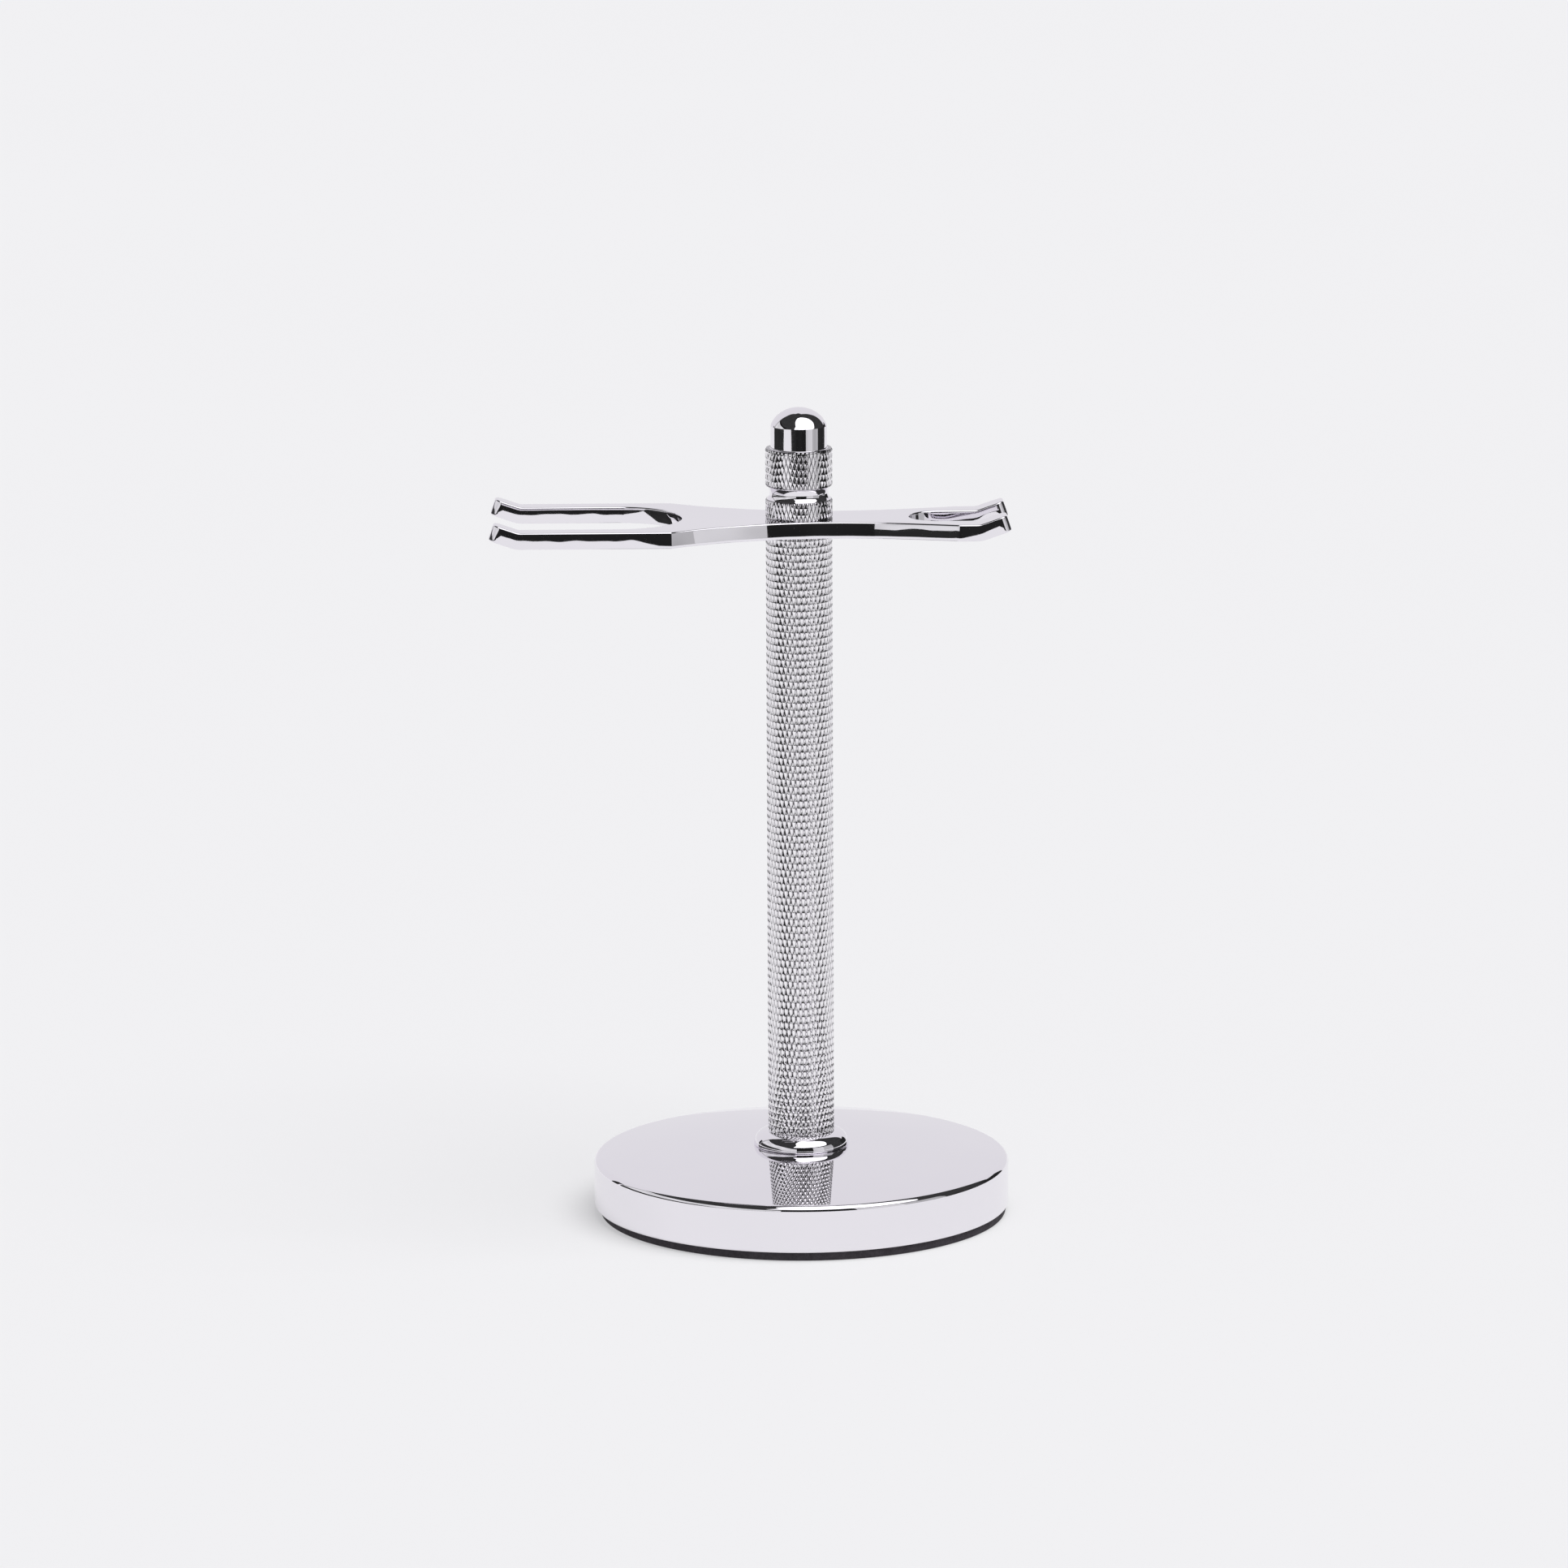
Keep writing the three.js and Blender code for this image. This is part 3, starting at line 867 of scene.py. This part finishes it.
def add_thread(turning, low, high):
    """Rings of a thread between two heights: each ring's radius follows the helix."""
    rows = round((high - low) / THREAD_PITCH * THREAD_STEPS)
    for row in range(rows + 1):
        height = low + (high - low) * row / rows
        phase = (height / THREAD_PITCH - turning.angles / (2 * math.pi)) % 1
        depth = THREAD_DEPTH * np.clip(THREAD_SLOPE * np.abs(2 * phase - 1) - THREAD_CREST, 0, 1)
        runout = min(1, (height - low) / THREAD_PITCH, (high - height) / THREAD_PITCH)
        depth = depth * runout + THREAD_DEPTH * (1 - runout)
        turning.profile([(THREAD_RADIUS - depth, height)])


def make_stud():
    """The stud that holds the finial to the post, threaded along its whole length."""
    low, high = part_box("top_stud")
    turning = Turning(FASTENER_SEGMENTS)
    add_thread(turning, low.z, high.z)
    turning.cap_ends()
    return add_piece("threaded_stud", turning.vertices, turning.faces, zinc_steel("stud_steel"),
                     "stud", "top_stud")


def make_screw():
    """The low-head screw in the base, with its hex socket at the bottom."""
    low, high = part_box("base_screw")
    head_top = low.z + SCREW_HEAD_HEIGHT
    turning = Turning(FASTENER_SEGMENTS)
    side = math.pi / 3
    from_flat = (turning.angles + side / 2) % side - side / 2
    hexagon = HEX_SOCKET_WIDTH / 2 / np.cos(from_flat)
    head = [
        (HEX_SOCKET_RIM, low.z, 0),
        (high.x, low.z, SCREW_HEAD_FILLET),
        (high.x, head_top, SCREW_NECK),
        (THREAD_RADIUS, head_top, 0),
    ]
    turning.profile([(hexagon, low.z + HEX_SOCKET_DEPTH), (hexagon, low.z)])
    turning.profile(rounded(head))
    add_thread(turning, head_top + SCREW_NECK, high.z)
    turning.cap_ends()
    return add_piece("socket_screw", turning.vertices, turning.faces, zinc_steel("screw_steel"),
                     "stand", "base_screw")


def washer_section(inner, outer, thickness):
    """The washer's section: a rectangle with its corners cut, as (radius, height) points."""
    near = inner + WASHER_CHAMFER
    far = outer - WASHER_CHAMFER
    top = thickness - WASHER_CHAMFER
    return [(near, 0), (far, 0), (outer, WASHER_CHAMFER), (outer, top), (far, thickness),
            (near, thickness), (inner, top), (inner, WASHER_CHAMFER)]


def make_washer():
    """A spring washer: a ring, cut once and sprung so that its ends part."""
    low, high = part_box("lock_washer")
    section = washer_section(HOLE_RADIUS, high.x, high.z - low.z - WASHER_SPRING)
    sides = len(section)
    vertices = []
    faces = []
    for step in range(WASHER_STEPS + 1):
        share = step / WASHER_STEPS
        angle = WASHER_SPLIT / 2 + (2 * math.pi - WASHER_SPLIT) * share
        lift = low.z + WASHER_SPRING * share
        for radius, height in section:
            vertices.append((radius * math.cos(angle), radius * math.sin(angle), lift + height))
    for here in range(0, WASHER_STEPS * sides, sides):
        for m in range(sides):
            n = (m + 1) % sides
            faces.append((here + m, here + sides + m, here + sides + n, here + n))
    faces.append(tuple(range(sides)))
    faces.append(tuple(reversed(range(WASHER_STEPS * sides, (WASHER_STEPS + 1) * sides))))
    return add_piece("spring_washer", vertices, faces, zinc_steel("washer_steel"), "stand",
                     "lock_washer")


# ---------------------------------------------------------------- studio


def glowing(name, level):
    """A glowing surface. It is a little uneven, like a lit wall."""
    look = Look(name)
    look.tree.nodes.remove(look.shader)
    strength = look.remap(look.noise(2.5), 0.3, 0.7, level * 0.8, level * 1.2)
    light = look.node("ShaderNodeEmission", Color=LIGHT_COLOUR, Strength=strength)
    look.put(look.tree.nodes["Material Output"].inputs["Surface"], light.outputs["Emission"])
    return look.material


def add_card(name, level, vertices, faces):
    """A card of the studio that shows only in mirrors. The level is its brightness."""
    mesh = bpy.data.meshes.new(name)
    mesh.from_pydata(vertices, [], faces)
    mesh.materials.append(glowing(name, level))
    card = bpy.data.objects.new(name, mesh)
    bpy.context.scene.collection.objects.link(card)
    card.visible_camera = False
    card.visible_diffuse = False
    card.visible_shadow = False


def direction(azimuth, elevation):
    """A unit vector away from the post's axis."""
    a = math.radians(azimuth)
    e = math.radians(elevation)
    return Vector((math.sin(a) * math.cos(e), -math.cos(a) * math.cos(e), math.sin(e)))


def screen(name, level, radius, ribs):
    """A card on a sphere round the finial. Each rib is a pair of (azimuth, elevation) ends."""
    rows = []
    for (first, last), (next_first, next_last) in zip(ribs, ribs[1:]):
        for step in range(SCREEN_STEPS):
            share = step / SCREEN_STEPS
            start = Vector(first).lerp(Vector(next_first), share)
            end = Vector(last).lerp(Vector(next_last), share)
            rows.append((start, end))
    rows.append((Vector(ribs[-1][0]), Vector(ribs[-1][1])))
    vertices = []
    for start, end in rows:
        for step in range(RIB_STEPS + 1):
            place = start.lerp(end, step / RIB_STEPS)
            vertices.append(tuple(SCREEN_CENTRE + direction(place.x, place.y) * radius))
    faces = []
    for row in range(len(rows) - 1):
        for m in range(RIB_STEPS):
            here = row * (RIB_STEPS + 1) + m
            above = here + RIB_STEPS + 1
            faces.append((here, here + 1, above + 1, above))
    add_card(name, level, vertices, faces)


def board(name, level, radius, left, right, top):
    """An upright card that stands on the floor between two azimuths."""
    vertices = []
    for step in range(BOARD_STEPS + 1):
        place = direction(left + (right - left) * step / BOARD_STEPS, 0) * radius
        vertices += [(place.x, place.y, 0), (place.x, place.y, top)]
    faces = [(2 * m, 2 * m + 2, 2 * m + 3, 2 * m + 1) for m in range(BOARD_STEPS)]
    add_card(name, level, vertices, faces)


def floor_card(name, level, corners):
    """A patch just above the floor, for the dark room beyond the edges of the table."""
    add_card(name, level, [(x, y, CARD_HEIGHT) for x, y in corners], [tuple(range(len(corners)))])


def make_floor():
    """The white paper that the stand is on. It glows a little, for the light of the whole room."""
    size = PAPER_SIZE
    mesh = bpy.data.meshes.new("floor")
    corners = [(-size, -size, 0), (size, -size, 0), (size, size, 0), (-size, size, 0)]
    mesh.from_pydata(corners, [], [(0, 1, 2, 3)])
    look = Look("paper")
    look.shade(
        Base_Color=look.tint(look.noise(3), PAPER_SHADE, PAPER_COLOUR),
        Roughness=1,
        Specular_IOR_Level=0,
        Emission_Color=LIGHT_COLOUR,
        Emission_Strength=PAPER_GLOW,
    )
    mesh.materials.append(look.material)
    floor = bpy.data.objects.new("floor", mesh)
    bpy.context.scene.collection.objects.link(floor)


def make_room_light():
    """The light of the whole room, weaker on matt surfaces than in mirrors."""
    world = bpy.data.worlds.new("white_room")
    bpy.context.scene.world = world
    world.use_nodes = True
    tree = world.node_tree
    background = tree.nodes["Background"]
    background.inputs["Color"].default_value = ROOM_COLOUR
    rays = tree.nodes.new("ShaderNodeLightPath")
    strength = tree.nodes.new("ShaderNodeMapRange")
    strength.inputs["To Min"].default_value = 1
    strength.inputs["To Max"].default_value = ROOM_ON_MATT
    tree.links.new(rays.outputs["Is Diffuse Ray"], strength.inputs["Value"])
    tree.links.new(strength.outputs["Result"], background.inputs["Strength"])


def make_key_light():
    """A wide, soft light from above on the right, which casts the shadow on the left."""
    light = bpy.data.lights.new("key_light", "SUN")
    light.energy = KEY_STRENGTH
    light.angle = KEY_WIDTH
    lamp = bpy.data.objects.new("key_light", light)
    to_light = direction(KEY_AZIMUTH, KEY_ELEVATION)
    lamp.rotation_euler = to_light.to_track_quat("Z", "Y").to_euler()
    lamp.visible_glossy = False
    bpy.context.scene.collection.objects.link(lamp)


def make_upper_cards():
    """The softbox, the board on the left and the dark room above and behind them."""
    wall_top = [
        (-180, 64), (-165, 66), (-150, 60), (-140, 57), (-130, 52), (-122, 42), (-118, 33),
        (-117.5, -15), (-60, -15), (0, -15), (60, -15), (125.5, -15), (126, 5), (129, 14),
        (134, 24), (139, 36), (144, 50), (154, 62), (166, 68), (180, 64),
    ]
    softbox = [(27, -21, 71), (45, -15, 87), (55, -19, 95), (65, -25, 100), (75, -30, 103),
               (88, -40, 110)]
    left_board = [(-112, 8, 35), (-90, 8, 31), (-75, 7, 28), (-60, 4, 27), (-45, -4, 23),
                  (-10, -5, 11)]
    screen("dark_room", level=0.04, radius=4.0, ribs=[((a, e), (a, 90)) for a, e in wall_top])
    screen("softbox", level=1.6, radius=1.25,
           ribs=[((left, e), (right, e)) for e, left, right in softbox])
    screen("left_board", level=0.8, radius=1.3,
           ribs=[((a, low), (a, top)) for a, low, top in left_board])
    screen("left_board_edge", level=0.5, radius=1.3,
           ribs=[((-119, 8), (-119, 35)), ((-112, 8), (-112, 35))])
    screen("left_board_gap", level=0.008, radius=3.0,
           ribs=[((a, top), (a, top + 5)) for a, low, top in left_board])


def make_lower_cards():
    """The board on the right, the camera's stand, and the dark room past the table's edges."""
    board("right_board_light", level=0.62, radius=0.66, left=29.5, right=57, top=0.34)
    board("right_board_shade", level=0.42, radius=0.66, left=57, right=84, top=0.34)
    board("camera_stand", level=0.015, radius=-TABLE_FRONT, left=-11, right=29.5, top=0.47)
    board("back_left_gap", level=0.02, radius=1.0, left=-126, right=-118.5, top=0.38)
    board("back_right_gap", level=0.02, radius=1.0, left=118, right=143, top=0.38)
    floor_card("front_gap", 0.025, [(-ROOM, -ROOM), (ROOM, -ROOM), (ROOM, TABLE_FRONT),
                                    (-ROOM, TABLE_FRONT)])
    floor_card("left_gap", 0.025, [(-ROOM, TABLE_FRONT), (TABLE_LEFT, TABLE_FRONT),
                                   (-0.72, 0.39), (-ROOM, 0.39)])
    floor_card("right_gap", 0.025, [(TABLE_RIGHT, TABLE_FRONT), (ROOM, TABLE_FRONT),
                                    (ROOM, 0.54), (0.64, 0.54), (0.8, -0.1)])


def make_camera():
    """A long lens from far away, a little above the stand."""
    camera = bpy.data.cameras.new("camera")
    camera.sensor_width = CAMERA_SENSOR
    camera.lens = CAMERA_LENS
    camera.clip_start = 0.1
    camera.clip_end = 200
    holder = bpy.data.objects.new("camera", camera)
    holder.location = CAMERA_PLACE
    yaw = Matrix.Rotation(CAMERA_YAW, 4, "Z")
    pitch = Matrix.Rotation(CAMERA_PITCH, 4, "X")
    roll = Matrix.Rotation(CAMERA_ROLL, 4, "Z")
    holder.rotation_euler = (yaw @ pitch @ roll).to_euler()
    bpy.context.scene.collection.objects.link(holder)
    bpy.context.scene.camera = holder


def set_view():
    """Colours as they are, without a film curve."""
    scene = bpy.context.scene
    scene.view_settings.view_transform = "Standard"
    scene.view_settings.look = "None"


set_view()
make_camera()
make_floor()
make_room_light()
make_key_light()
make_upper_cards()
make_lower_cards()
make_pad()
make_base()
make_foot_ring()
make_post()
make_fork()
make_finial()
make_stud()
make_screw()
make_washer()
